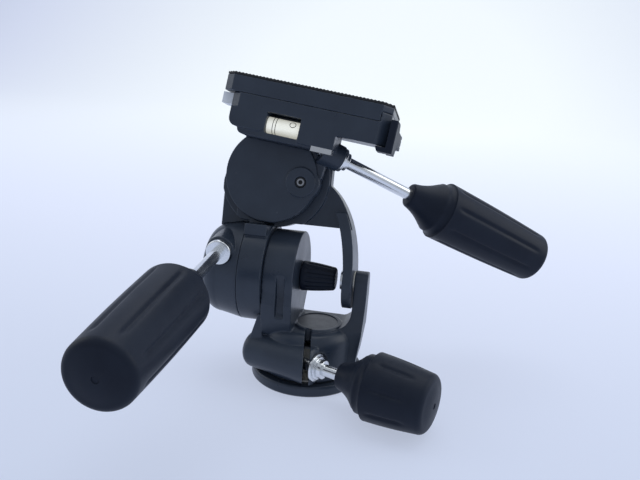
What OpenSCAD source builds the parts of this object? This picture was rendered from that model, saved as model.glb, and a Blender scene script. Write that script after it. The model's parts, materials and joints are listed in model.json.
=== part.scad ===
// Three way pan tilt head for a tripod, standing on its own base.
// A turret pans on the base, a middle casting tilts front to back in the turret's yoke, and the
// platform tilts sideways on the middle casting. Each motion has its own clamp and handle, and a
// quick release plate sits on the platform.
// Origin: the centre of the tripod socket, on the underside of the base. X is the front tilt
// axis, -Y faces the user, and Z is up. Each piece of the upper parts is drawn level, and then
// leaned to its resting pose by the modules front_pose and side_pose.

/* [Base and turret] */
// Radius of the round base
base_r = 30; // [29:0.5:33]
// Thickness of the round base
base_t = 6; // [5.6:0.1:6.5]
// Radius of the turret's wall
turret_r = 27; // [26:0.5:28]
// Height of the turret's flat top over the base's underside
turret_top = 32; // [31.5:0.25:33]
// Radius of the turret's flat top
turret_flat_r = 21; // [20:0.25:22]
// Radius of the spindle that the turret turns on
spindle_r = 13; // [12:0.25:13.5]
// Radius of the tripod socket, a 3/8 inch thread
socket_r = 4.7625; // [4.7:0.0125:4.8]
// Depth of the tripod socket
socket_depth = 12; // [10:0.5:12.5]
// Radius of the bare label panel on the turret's top
label_r = 10.6; // [9:0.2:10.8]

/* [Pan clamp] */
// Radius of the pan clamp's barrel
barrel_r = 10; // [9:0.1:10.2]
// Height of the pan clamp's axis
barrel_z = 17.5; // [17.25:0.25:18.5]
// Distance of the pan clamp's axis from the pan axis
barrel_off = 23; // [22:0.25:24]
// Angle of the pan clamp's axis towards the user
barrel_turn = 20; // [16:1:22]
// Length of the barrel on its closed side
barrel_left = 23.6; // [23:0.2:25]
// Length of the barrel on its handle side
barrel_right = 18.5; // [17.5:0.5:20]
// Width of the clamp's slot
slot_w = 3.2; // [2:0.2:4]

/* [Yoke] */
// Height of the front tilt axis over the base's underside
tilt_z = 55.5; // [55:0.5:57]
// Radius of the yoke's round arm
yoke_r = 23.5; // [22.5:0.25:24]
// Outer face of the yoke's round arm, beside the tilting drum
yoke_x0 = -21; // [-21.4:0.1:-20]
// Inner face of the yoke's round arm, beside the friction knob
yoke_x1 = -5.3; // [-6:0.1:-5]
// Inner face of the post
post_x0 = 23.5; // [23.3:0.1:24]
// Outer face of the post at its top
post_x1 = 30.5; // [30:0.1:31.5]
// Radius of the post's eye at the tilt axis
post_eye_r = 5.9; // [5.6:0.1:6.8]
// Radius of the front tilt axle
axle_r = 5; // [4.5:0.1:5.2]
// Radius of the pivot screw in the post
pivot_r = 2.6; // [2.4:0.1:3]

/* [Friction knob] */
// Radius of the knob beside the yoke
knob_r0 = 7.9; // [7:0.1:8.2]
// Radius of the knob's tip
knob_r1 = 6.2; // [5.5:0.1:6.4]
// Length of the knob
knob_len = 18.3; // [16:0.1:18.5]

/* [Middle casting] */
// Radius of the tilting drum
drum_r = 26.2; // [25.4:0.1:26.6]
// Left face of the tilting drum, at the seam
drum_x0 = -33.7; // [-34.5:0.1:-33]
// Radius of the clamp housing at its left end, where it has narrowed
housing_r = 24; // [23.5:0.1:24.5]
// Left end of the clamp housing
housing_x0 = -55.5; // [-56.5:0.25:-55]
// Side tilt axis, across the head
side_x = -23.6; // [-24.2:0.1:-23]
// Side tilt axis, height when level
side_z = 106; // [105.5:0.25:107]
// Radius of the back plate behind the side tilt disc
back_r = 26.5; // [26:0.1:27]
// Front face of the back plate
back_y0 = -5.5; // [-5.7:0.1:-5]
// Rear face of the back plate
back_y1 = 5; // [4:0.25:6]
// Thickness of the curved arm
arm_t = 4.8; // [4.4:0.1:5.2]
// Radius of the curved arm's eye at the pivot
eye_r = 14.4; // [13:0.1:15]

/* [Platform] */
// Radius of the side tilt disc
disc_r = 24; // [23:0.1:24.3]
// Front face of the side tilt disc
disc_y0 = -15.2; // [-16:0.1:-15]
// Height of the seam between frame and plate, when level
seam_z = 142.5; // [142.3:0.1:143.5]
// Front face of the frame and of the plate
frame_y0 = -29.3; // [-30.5:0.1:-29]
// Rear face of the frame and of the plate
frame_y1 = 23.5; // [22:0.5:26]
// Thickness of the frame's deck
deck_t = 8.2; // [8:0.1:8.4]
// Size of the corner bevels seen from above
bevel = 5; // [3.5:0.25:6]
// Radius of the spirit level's tube
vial_r = 4.1; // [3.6:0.1:4.3]
// Radius of the side tilt axle
side_axle_r = 6; // [5:0.1:6.5]

/* [Quick release plate] */
// Left end of the plate
plate_x0 = -54; // [-55:0.25:-53]
// Right end of the plate and of the frame
plate_x1 = 31; // [30:0.25:31.2]
// Thickness of the plate without its pad
plate_t = 8; // [7.6:0.1:8.5]
// Thickness of the rubber pad
pad_t = 1.4; // [1:0.1:2]
// Radius of the camera screw, a 1/4 inch thread
camera_screw_r = 3.175; // [3.1:0.025:3.2]
// Height of the camera screw's tip over the pad, half raised
screw_rise = 2.8; // [2:0.1:3.2]

/* [Handles] */
// Radius of the chrome handle stems
stem_r = 3.1; // [2.6:0.1:3.3]
// Bare length of the two long stems
stem_bare = 42.6; // [35:0.2:50]
// Bare length of the pan handle's short stem
pan_stem_bare = 8.8; // [8:0.2:12]
// Length of a long grip
grip_len = 87.6; // [76:0.2:96]
// Length of the pan handle's short grip
pan_grip_len = 49.7; // [44:0.5:56]
// Length of the flared neck of a long grip
neck_len = 18.4; // [15:0.2:22]
// Length of the flared neck of the short grip
pan_neck_len = 16.5; // [14:0.5:18]
// Radius of a long grip at its shoulder
grip_r = 15.8; // [14:0.1:17]
// Radius of a long grip at its far end
grip_end_r = 13.7; // [11.5:0.1:14.5]
// Radius of the short grip at its shoulder
pan_grip_r = 16.9; // [15:0.1:17]
// Radius of the short grip at its far end
pan_grip_end_r = 14.5; // [12:0.1:15]
// Radius of a grip's neck at the stem
neck_r = 6.3; // [5.5:0.1:7]

/* [Resting pose] */
// Lean of the middle casting away from the user
rest_front = 13.5; // [0:0.5:20]
// Lean of the platform to the user's right
rest_side = 7.5; // [0:0.5:10]

/* [Hidden] */
$fn = 96;
// Radial clearance of a piece that turns on another
run = 0.05;
// Gap between faces of moving pieces
gap = 0.3;
// Overlap of pieces joined in one casting, and reach of a cut past a face
eps = 0.5;
turret_z0 = base_t + 0.75;
bush_t = 2;
bush_r = spindle_r + run + bush_t;
spindle_top = base_t + 15;
cap_r = bush_r + 2.5;
cap_top = spindle_top + 4.5;
axle_bush_t = 1.45;
drum_x1 = yoke_x0 - gap;
housing_x1 = drum_x0 - 0.1;
arm_x1 = post_x0 - 0.6;
arm_x0 = arm_x1 - arm_t;
deck_z0 = seam_z - deck_t;
disc_y1 = back_y0 - 1.5;
cover_t = 1.4;
plate_z0 = seam_z + 0.1;
plate_z1 = plate_z0 + plate_t;
pad_top = plate_z1 + pad_t;
plate_cx = (plate_x0 + plate_x1) / 2;
plate_cy = (frame_y0 + frame_y1) / 2;
// The plate's tongue and the deck's seat for it: half lengths and heights
tongue_x = 30;
tongue_y = 17;
tongue_h = 5.5;
seat_depth = 6;
screw_tip = pad_top + screw_rise;
screw_shank_r = 2.5;
screw_head_z = seam_z - 3;
screw_head_h = 2.2;
screw_head_r = 8;
washer_h = 0.7;
// Starting points and directions of the handles, each in its own casting's level frame
tilt_handle_at = [-43.8, -25, 65.4];
tilt_handle_yaw = -88.2;
tilt_handle_drop = 15.5;
side_handle_at = [8.6, -9.5, 122];
side_handle_yaw = 27.1;
side_handle_drop = 12.4;

// Points of an arc, or of a quarter ellipse when the two radii differ
function arc(c, rx, ry, a0, a1, n = 10) =
    [for (i = [0 : n]) let (a = a0 + (a1 - a0) * i / n) [c[0] + rx * cos(a), c[1] + ry * sin(a)]];

// Points of a curve drawn by four control points
function curve(p, n = 12) =
    [for (i = [0 : n]) let (t = i / n, u = 1 - t)
        u * u * u * p[0] + 3 * u * u * t * p[1] + 3 * u * t * t * p[2] + t * t * t * p[3]];

module x_rod(x0, x1, r) translate([x0, 0, 0]) rotate([0, 90, 0]) cylinder(r = r, h = x1 - x0);

module y_rod(y0, y1, r) translate([0, y0, 0]) rotate([-90, 0, 0]) cylinder(r = r, h = y1 - y0);

module z_rod(z0, z1, r) translate([0, 0, z0]) cylinder(r = r, h = z1 - z0);

module block(a, b) translate(a) cube(b - a);

// An outline in X and Z, as thick as y0 to y1
module front_slab(y0, y1) translate([0, y1, 0]) rotate([90, 0, 0]) linear_extrude(y1 - y0) children();

// An outline in Y and Z, as wide as x0 to x1
module side_slab(x0, x1)
    translate([x0, 0, 0]) rotate([90, 0, 90]) linear_extrude(x1 - x0) children();

// A profile of radius and length, turned about X
module x_turned() rotate([0, 90, 0]) rotate_extrude() children();

// Poses and local frames
module on_tilt_axis() translate([0, 0, tilt_z]) children();

module on_side_axis() translate([side_x, 0, side_z]) children();

module front_pose()
    on_tilt_axis() rotate([-rest_front, 0, 0]) translate([0, 0, -tilt_z]) children();

module side_pose()
    front_pose() on_side_axis() rotate([0, rest_side, 0]) translate([-side_x, 0, -side_z])
        children();

// The pan clamp's own frame: X runs along the clamp's screw, towards its handle
module on_pan_clamp()
    rotate([0, 0, -barrel_turn]) translate([0, -barrel_off, barrel_z]) children();

module on_tilt_clamp()
    translate(tilt_handle_at) rotate([0, tilt_handle_drop, tilt_handle_yaw]) children();

module on_side_clamp()
    translate(side_handle_at) rotate([0, side_handle_drop, side_handle_yaw]) children();

// ---------------------------------------------------------------- base

spindle_boss_r = 8;
spindle_screw_ring = 10.4;
screw_r = 1.5;
screw_head_wide = 2.4;
screw_head_depth = 2;
ring_r0 = 20;
ring_r1 = 27;
ring_t = 1;

module at_spindle_screws() for (a = [30, 150, 270])
    rotate([0, 0, a]) translate([spindle_screw_ring, 0, 0]) children();

module base_disc() color("dimgray") difference() {
    rotate_extrude()
        polygon([[0, 0], [base_r - 1, 0], [base_r, 1], [base_r, base_t - 1], [base_r - 0.6, base_t],
            [0, base_t]]);
    z_rod(-eps, base_t + eps, spindle_boss_r);
    difference() {
        z_rod(-eps, ring_t, ring_r1);
        z_rod(-2 * eps, ring_t + eps, ring_r0);
    }
    at_spindle_screws() {
        z_rod(-eps, base_t + eps, screw_r);
        z_rod(-eps, screw_head_depth, screw_head_wide);
    }
}

module base_grip_ring() color("darkslategray") difference() {
    z_rod(0, ring_t, ring_r1);
    z_rod(-eps, ring_t + eps, ring_r0);
}

module pan_spindle() color("silver") difference() {
    union() {
        z_rod(0, base_t + eps, spindle_boss_r);
        z_rod(base_t, spindle_top, spindle_r);
    }
    z_rod(-eps, socket_depth, socket_r);
    z_rod(socket_depth + 1, spindle_top + eps, 2.5);
    at_spindle_screws() z_rod(base_t - eps, base_t + 7, screw_r);
}

module spindle_screws() color("silver") at_spindle_screws() {
    z_rod(0.3, screw_head_depth, screw_head_wide);
    z_rod(1.5, base_t + 6.5, screw_r);
}

module retaining_washer() color("silver") difference() {
    z_rod(spindle_top, spindle_top + 1.2, bush_r + 1);
    z_rod(spindle_top - eps, spindle_top + 2, 2.6);
}

module retaining_screw() color("silver") difference() {
    union() {
        z_rod(spindle_top + 1.2, spindle_top + 3.6, 4.2);
        z_rod(socket_depth + 2, spindle_top + 1.5, 2.5);
    }
    translate([0, 0, spindle_top + 2.2]) cylinder(r = 1.8, h = 3, $fn = 6);
}

// ---------------------------------------------------------------- turret and yoke

// The turret's outer profile: a straight wall that rounds over to the flat top
turret_shoulder_z = 24.5;
// The bare label panel lies in a raised rim on the turret's top
label_at = [5.6, -5.5];
label_rise = 1;

module turret_body() difference() {
    union() {
        rotate_extrude() polygon(concat(
            [[0, turret_z0], [turret_r - 0.8, turret_z0], [turret_r, turret_z0 + 0.8]],
            arc([turret_flat_r, turret_shoulder_z], turret_r - turret_flat_r,
                turret_top - turret_shoulder_z, 0, 90),
            [[0, turret_top]]));
        translate(label_at) z_rod(turret_top - 2, turret_top + label_rise, label_r + 2.2);
    }
    side_slab(-40, 40) polygon([[9.5, turret_top + 4], [9.5, turret_top + 0.6], [28, 19], [40, 19],
        [40, turret_top + 4]]);
}

barrel_dome = 6;

module clamp_barrel() on_pan_clamp() {
    x_turned() polygon(concat(
        [[0, barrel_right], [barrel_r - 1, barrel_right], [barrel_r, barrel_right - 1]],
        [for (p = arc([0, 0], barrel_r, barrel_dome, 0, -90))
            [p[0], p[1] - barrel_left + barrel_dome]]));
    block([-barrel_left + barrel_dome, 0, turret_z0 + 0.5 - barrel_z],
        [barrel_right - 1, barrel_off - 6, barrel_r - 0.4]);
}

// Side view of the round arm: the drum's circle, a forward foot and a sloping back
module yoke_arm() {
    side_slab(yoke_x0, yoke_x1) {
        translate([0, tilt_z]) circle(r = yoke_r);
        polygon([[-yoke_r + 0.6, tilt_z], [-24.2, 46], [-23.4, 37], [-20.5, 29], [-14, 22], [10, 24],
            [10, turret_top - 0.4],
            [yoke_r * cos(35), tilt_z - yoke_r * sin(35)], [18, tilt_z]]);
    }
    front_slab(-21.5, -4) polygon([[yoke_x0 + eps, 52], [yoke_x0, 50], [-21.6, 44], [-23.4, 37.5],
        [-26.6, 27], [-27, 15], [yoke_x0 + eps, 15]]);
}

// Front view of the post, with the hollow of the yoke beside it
post_top = tilt_z + post_eye_r;

module post_outline() polygon(concat(
    [[post_x0, post_top], [post_x1 - 0.7, post_top], [post_x1, post_top - 0.9], [post_x1, 48],
        [post_x1 - 0.6, 30], [turret_r + 0.8, 14], [turret_r - 0.5, 10], [8, 10], [8, turret_top]],
    arc([post_x0 - 8, turret_top + 8.5], 8, 8.5, -90, 0, 6)));

module post_side() {
    translate([0, tilt_z]) circle(r = post_eye_r);
    polygon([[-post_eye_r, tilt_z], [-7.6, 42], [-12, turret_top], [-14, 10], [12, 10],
        [9.5, turret_top], [7.6, 42], [post_eye_r, tilt_z]]);
}

module post() intersection() {
    front_slab(-20, 20) post_outline();
    side_slab(0, 40) post_side();
}

// The deep groove between the two ribs on the front of the round arm
groove_x0 = -13.6;
groove_x1 = -9.4;

module rib_groove() side_slab(groove_x0, groove_x1) polygon([[-34, 66], [-34, 32.8], [-26, 35],
    [-22, 41], [-20.8, 50], [-22.9, 64]]);

clamp_bore_r = stem_r + 0.3;
nut_r = 5.2;
nut_x0 = -3;
nut_x1 = 7.6;
slot_turn = 10;
pan_washer_r = 7.2;

// The slot that lets the turret close on its bush
module pan_slot() rotate([0, 0, slot_turn - 90]) {
    block([bush_r - 1.5, -slot_w / 2, turret_z0 - 1], [48, slot_w / 2, cap_top - 1]);
    block([16.4, -slot_w / 2, turret_z0 - 1], [48, slot_w / 2, turret_top + 2]);
}

module pan_casting() color("dimgray") difference() {
    union() {
        turret_body();
        clamp_barrel();
        yoke_arm();
        post();
    }
    z_rod(turret_z0 - 2, spindle_top + eps, bush_r);
    z_rod(spindle_top - 0.1, cap_top, cap_r);
    translate(label_at) z_rod(turret_top + label_rise - 1.2, turret_top + 3, label_r);
    pan_slot();
    on_pan_clamp() {
        x_rod(-14, barrel_right + 2, clamp_bore_r);
        x_rod(nut_x0, nut_x1 + 6, nut_r);
        x_rod(barrel_right, barrel_right + 12, pan_washer_r + gap);
    }
    on_tilt_axis() {
        x_rod(yoke_x0 - 2, yoke_x1 + 2, axle_r);
        x_rod(post_x0 - 2, post_x1 - 1.6, pivot_r);
    }
    rib_groove();
    on_tilt_axis() x_rod(housing_x0 - 4, yoke_x0, drum_r + 0.6);
}

module thrust_washer() color("ivory") difference() {
    z_rod(base_t + 0.05, turret_z0, turret_r - 3);
    z_rod(base_t - 1, turret_z0 + 1, bush_r + 1);
}

module pan_bush() color("ivory") difference() {
    z_rod(base_t + 0.1, spindle_top - 0.1, bush_r);
    z_rod(base_t - 1, spindle_top + 1, spindle_r + run);
}

module label_panel() color("slategray")
    translate(label_at) z_rod(turret_top + label_rise - 1.2, turret_top + label_rise - 0.4, label_r);

module pan_clamp_nut() color("goldenrod") on_pan_clamp() difference() {
    x_rod(nut_x0, nut_x1, nut_r);
    x_rod(nut_x0 - 1, nut_x1 + 1, stem_r + run);
}

knob_stub_r = 3.5;
knob_stub_len = 12;
axle_x0 = housing_x0 + 4.5;

module tilt_axle() color("silver") on_tilt_axis() {
    x_rod(axle_x0, yoke_x1 - eps, axle_r);
    x_rod(yoke_x1 - 1, yoke_x1 + knob_stub_len, knob_stub_r);
}

axle_nut_r = 8;
axle_nut_x1 = axle_x0 + 5.3;

module axle_nut() color("silver") on_tilt_axis() difference() {
    translate([axle_x0 + 0.3, 0, 0]) rotate([0, 90, 0])
        cylinder(r = axle_nut_r, h = axle_nut_x1 - axle_x0 - 0.3, $fn = 6);
    x_rod(axle_x0 - 1, axle_nut_x1 + 1, axle_r);
}

pivot_head_r = 5;

module pivot_screw() color("silver") on_tilt_axis() difference() {
    union() {
        x_rod(arm_x0 - 2.2, arm_x0 - gap, pivot_head_r);
        x_rod(arm_x0 - 1, post_x1 - 2, pivot_r);
    }
    translate([arm_x0 - 3, 0, 0]) rotate([0, 90, 0]) cylinder(r = 2.2, h = 2.4, $fn = 6);
}

module pivot_washer() color("ivory") on_tilt_axis() difference() {
    x_rod(arm_x1 + 0.06, post_x0, post_eye_r - 0.4);
    x_rod(arm_x1 - 1, post_x0 + 1, pivot_r);
}

// ---------------------------------------------------------------- handles

flutes = 8;

// A grip with a flared neck, a shoulder, lengthwise flutes and a rounded end, along X from 0
module grip(neck, length, bore, r0, r1) difference() {
    x_turned() polygon(concat(
        [[0, 0], [neck_r, 0], [neck_r + 0.6, 1.2], [neck_r + 1.4, neck * 0.25],
            [r0 - 4.2, neck * 0.72]],
        arc([r0 - 3.2, neck + 2], 3.2, 3.6, -30, 30, 4),
        arc([r1 - 4.6, length - 4], 4.6, 4, 0, 90, 6),
        [[0, length]]));
    x_rod(-1, bore, stem_r);
    for (i = [0 : flutes - 1]) rotate([(i + 0.5) * 360 / flutes, 0, 0])
        translate([neck + 5, 0, r0 + 0.1])
            rotate([0, 90 + atan((r0 - r1) / (length - neck)), 0])
                cylinder(r = 1.5, h = length - neck - 14, $fn = 24);
}

module stem(inside, bare, bore) x_rod(-inside, bare + bore, stem_r);

pan_handle_x = 24.1;
pan_bore = 22;
long_bore = 45;

module pan_stem() color("silver") on_pan_clamp()
    translate([pan_handle_x, 0, 0]) stem(pan_handle_x - nut_x0 - 1, pan_stem_bare, pan_bore);

module pan_washers() color("gainsboro") on_pan_clamp() difference() {
    union() {
        x_rod(barrel_right + 0.1, barrel_right + 1.6, pan_washer_r);
        x_rod(barrel_right + 1.6, barrel_right + 2.8, 6);
        x_rod(barrel_right + 2.8, pan_handle_x, 4.8);
    }
    x_rod(barrel_right - 1, pan_handle_x + 1, stem_r);
}

module pan_grip() color("darkslategray") on_pan_clamp()
    translate([pan_handle_x + pan_stem_bare, 0, 0])
        grip(pan_neck_len, pan_grip_len, pan_bore, pan_grip_r, pan_grip_end_r);

collar_r = 6.4;
collar_t = 3;
tilt_stem_in = 22;

module tilt_stem() color("silver") front_pose() on_tilt_clamp()
    stem(tilt_stem_in, stem_bare, long_bore);

module tilt_collar() color("gainsboro") front_pose() on_tilt_clamp() difference() {
    union() {
        x_rod(-0.4, collar_t - 1, collar_r);
        x_rod(collar_t - 1, collar_t, collar_r - 1);
    }
    x_rod(-1, collar_t + 1, stem_r);
}

module tilt_grip() color("darkslategray") front_pose() on_tilt_clamp()
    translate([stem_bare, 0, 0]) grip(neck_len, grip_len, long_bore, grip_r, grip_end_r);

side_stem_in = 12;

module side_stem() color("silver") side_pose() on_side_clamp()
    stem(side_stem_in, stem_bare, long_bore);

module side_washers() color("gainsboro") side_pose() on_side_clamp() difference() {
    union() {
        x_rod(0.2, 1.7, 6.2);
        x_rod(1.7, 4, 4.7);
    }
    x_rod(-1, 5, stem_r);
}

module side_grip() color("darkslategray") side_pose() on_side_clamp()
    translate([stem_bare, 0, 0]) grip(neck_len, grip_len, long_bore, grip_r, grip_end_r);

knob_x0 = yoke_x1 + gap;
knob_ribs = 16;

module friction_knob() color("darkslategray") on_tilt_axis() difference() {
    x_turned() polygon([[0, knob_x0], [knob_r0 - 0.4, knob_x0], [knob_r0, knob_x0 + 0.4],
        [knob_r1, knob_x0 + knob_len - 0.6], [knob_r1 - 0.6, knob_x0 + knob_len],
        [0, knob_x0 + knob_len]]);
    x_rod(knob_x0 - 1, yoke_x1 + knob_stub_len + 0.3, knob_stub_r + run);
    for (i = [0 : knob_ribs - 1]) rotate([i * 360 / knob_ribs, 0, 0])
        translate([knob_x0 + 3, 0, knob_r0 + 0.25])
            rotate([0, 90 + atan((knob_r0 - knob_r1) / knob_len), 0])
                cylinder(r = 0.75, h = knob_len, $fn = 16);
}

// ---------------------------------------------------------------- middle casting

// Front view of the back plate: the circle behind the disc, its straight left edge down to the
// drum, the web to the curved arm, and the lug above the arm's root
back_x0 = -51.4;
web_z = 82.4;

module back_outline() {
    translate([side_x, side_z]) circle(r = back_r);
    polygon([[back_x0, 74], [back_x0, side_z - 4],
        [side_x - back_r * cos(20), side_z + back_r * sin(20)], [side_x, side_z], [side_x, 78.5],
        [-39, 78.5], [-39, 74]]);
    polygon([[-14, web_z], [13.2, web_z], [13.4, 93], [6, 104], [6, 113], [-2, 121], [side_x, side_z],
        [side_x, web_z]]);
}

arm_inner = [[0, 102], [12, 94], [arm_x0 - 2, 78], [arm_x0, 60]];
arm_outer = [[arm_x1, 60], [arm_x1 - 0.8, 80], [16.4, 96], [6, 104]];

module arm_outline()
    polygon(concat([[arm_x0, tilt_z - 20], [arm_x1, tilt_z - 20]], curve(arm_outer), curve(arm_inner)));

// Side view of the curved arm: a round eye at the pivot and a strap that narrows to the plate
module arm_side() {
    translate([0, tilt_z]) circle(r = eye_r);
    polygon([[-eye_r * cos(10), tilt_z + eye_r * sin(10)], [back_y0 - 2.5, 90], [back_y0, 97],
        [back_y0, 111], [back_y1, 111], [back_y1 + 4, 97], [back_y1 + 6, 87],
        [eye_r * cos(10), tilt_z + eye_r * sin(10)]]);
}

module curved_arm() intersection() {
    front_slab(-20, 20) arm_outline();
    side_slab(-5, 40) arm_side();
}

// The side handle's boss sweeps past the arm's root, which is stepped back for it
boss_sweep_r = 29;
boss_relief = 2.5;

foot_bottom = 74.8;
foot_top = 80.6;

module drum_foot() {
    front_slab(-11, 6) polygon([[drum_x0, tilt_z + 12], [-25, tilt_z + 12], [-25, 85], [-41, 88],
        [-41, 84], [-38, tilt_z + drum_r + 0.6], [drum_x0, tilt_z + drum_r + 0.2]]);
    block([drum_x0, -19.5, foot_bottom], [yoke_x0 - 1.1, 0, foot_top]);
}

bolt_ring = 17;

module at_drum_bolts() for (a = [-20, 100, 220])
    rotate([a, 0, 0]) translate([0, 0, bolt_ring]) children();

axle_bush_r = axle_r + run + axle_bush_t;
arm_bush_r = pivot_r + run + 1.5;

module tilt_casting() color("dimgray") front_pose() difference() {
    union() {
        on_tilt_axis() x_rod(drum_x0, drum_x1, drum_r);
        drum_foot();
        front_slab(back_y0, back_y1) back_outline();
        curved_arm();
        on_side_axis() y_rod(back_y1 - eps, back_y1 + 4, 11);
    }
    on_tilt_axis() {
        x_rod(drum_x0 - 1, drum_x1 + 1, axle_bush_r);
        x_rod(arm_x0 - 1, arm_x1 + 1, arm_bush_r);
        cup(0.1);
        at_drum_bolts() x_rod(drum_x0 - 1, drum_x1 - 3, bolt_r);
    }
    on_tilt_clamp() x_rod(-boss_len - 0.2, 20, boss_r + 0.2);
    on_side_axis() {
        y_rod(back_y0 - 1, back_y1 + 5, side_axle_r);
        y_rod(disc_y0 - 1, back_y0, disc_r + gap);
        difference() {
            y_rod(back_y0 - 2, back_y0 + boss_relief, boss_sweep_r + 20);
            y_rod(back_y0 - 3, back_y0 + boss_relief + 1, boss_sweep_r);
        }
    }
}

boss_r = 7.4;
boss_len = 24;
housing_dome = 10;
cup_floor = housing_x0 + 9.5;
cup_wall = 2.6;
hub_r = 12.6;
bolt_boss_r = 3.4;
bolt_r = 1.6;

// The clamp housing's cup, grown by a clearance
module cup(grow = 0) x_turned() polygon(concat(
    [[0, housing_x1 + grow], [drum_r - 0.4 + grow, housing_x1 + grow],
        [drum_r + grow, housing_x1 - 0.4]],
    [for (p = arc([0, 0], housing_dome + grow, housing_dome + grow, 0, -90))
        [housing_r - housing_dome + p[0], housing_x0 + housing_dome + p[1]]],
    [[0, housing_x0 - grow]]));

// The clamp housing: a domed cup that closes the drum, with the boss for the tilt handle
module clamp_housing() color("dimgray") front_pose() difference() {
    union() {
        on_tilt_axis() cup();
        on_tilt_clamp() x_turned() polygon([[0, -boss_len], [boss_r, -boss_len], [boss_r, -1],
            [boss_r - 0.6, -0.4], [0, -0.4]]);
    }
    on_tilt_axis() {
        difference() {
            x_rod(cup_floor, housing_x1 + 1, housing_r - cup_wall);
            x_rod(cup_floor - 1, housing_x1 + 2, hub_r);
            at_drum_bolts() x_rod(cup_floor - 2, housing_x1 + 2, bolt_boss_r);
        }
        x_rod(axle_x0 - 0.5, cup_floor + 1, axle_nut_r + 0.8);
        x_rod(cup_floor - 3, housing_x1 + 1, axle_r + 0.4);
        at_drum_bolts() x_rod(cup_floor + 2, housing_x1 + 1, bolt_r);
    }
    on_tilt_clamp() {
        x_rod(-tilt_stem_in - 1, 1, stem_r + run);
        x_rod(-0.4, 12, collar_r + gap);
    }
}

module drum_bolts() color("silver") front_pose() on_tilt_axis()
    at_drum_bolts() x_rod(cup_floor + 2.5, drum_x1 - 3.5, bolt_r);

module drum_bush() color("ivory") front_pose() on_tilt_axis() difference() {
    x_rod(drum_x0, drum_x1, axle_bush_r);
    x_rod(drum_x0 - 1, drum_x1 + 1, axle_r + run);
}

module arm_bush() color("ivory") front_pose() on_tilt_axis() difference() {
    x_rod(arm_x0, arm_x1, arm_bush_r);
    x_rod(arm_x0 - 1, arm_x1 + 1, pivot_r + run);
}

axle_flange_y = disc_y0 + cover_t + 0.4;

module side_axle() color("silver") front_pose() on_side_axis() {
    y_rod(axle_flange_y, axle_flange_y + 1.8, 9);
    y_rod(axle_flange_y + 1, back_y1 + 10, side_axle_r);
}

module side_axle_nut() color("silver") front_pose() on_side_axis() difference() {
    translate([0, back_y1 + 4, 0]) rotate([-90, 30, 0]) cylinder(r = 9.5, h = 5.5, $fn = 6);
    y_rod(back_y1, back_y1 + 12, side_axle_r);
}

// ---------------------------------------------------------------- platform

// Outline of the plate and of the frame from above, with bevelled corners
module slab_outline(x0, x1) polygon([[x0 + bevel, frame_y0], [x1 - bevel, frame_y0],
    [x1, frame_y0 + bevel], [x1, frame_y1 - bevel], [x1 - bevel, frame_y1], [x0 + bevel, frame_y1],
    [x0, frame_y1 - bevel], [x0, frame_y0 + bevel]]);

lobe_at = [side_x + 16, side_z];
lobe_r = 9.5;
window_x0 = -28.5;
window_x1 = -11.4;
left_block_x0 = -47.4;
mid_block_x1 = 6.9;
block_z0 = seam_z - 16.8;
vial_y = frame_y0 + 6.1;
vial_z = seam_z - 12.4;
floor_z0 = block_z0 - 3;
pocket_y = frame_y0 + 11;

// Front view of the two blocks and the floor that hold the spirit level
module left_block() polygon(concat([[left_block_x0, deck_z0 + 1], [left_block_x0, block_z0 + 4]],
    arc([left_block_x0 + 4, block_z0 + 4], 4, 4, 180, 270, 4),
    arc([window_x0 - 3, block_z0 + 3], 3, 3, 270, 360, 4), [[window_x0, deck_z0 + 1]]));

module middle_block() polygon([[window_x1, deck_z0 + 1], [window_x1, floor_z0 + 1.5],
    [-4, floor_z0 + 1.2], [-3, block_z0 - 1.4], [mid_block_x1, block_z0 - 1.4],
    [mid_block_x1, deck_z0 + 1]]);

// The frame's front lip hangs below the deck, and its right end stands up as a jaw for the plate
lip_z0 = seam_z - 11.2;
lip_t = 7;
jaw_x0 = plate_x1 - bevel + 0.2;
jaw_z1 = seam_z + 4.7;
// The plate lever turns on a pin beside the frame, in a lug that its fork goes round
lever_in = plate_x1 + 0.3;
lever_out = plate_x1 + 3.9;
lever_y0 = frame_y0 + 0.3;
lever_pin_r = 1.1;
lever_pin_at = [plate_x1 + 2.4, 6];
lever_eye_r = 2.1;
lever_neck_z = [seam_z - 9, seam_z - 1.5];
lug_z = [seam_z - 6.6, seam_z - 3.4];
catch_y0 = frame_y0 + 6.5;
catch_y1 = frame_y0 + 18.5;
catch_z0 = seam_z - 6.2;
catch_z1 = seam_z - 0.5;
catch_in = -43.4;
catch_back = 3.4;
catch_out = plate_x0 - 0.8;

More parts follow.
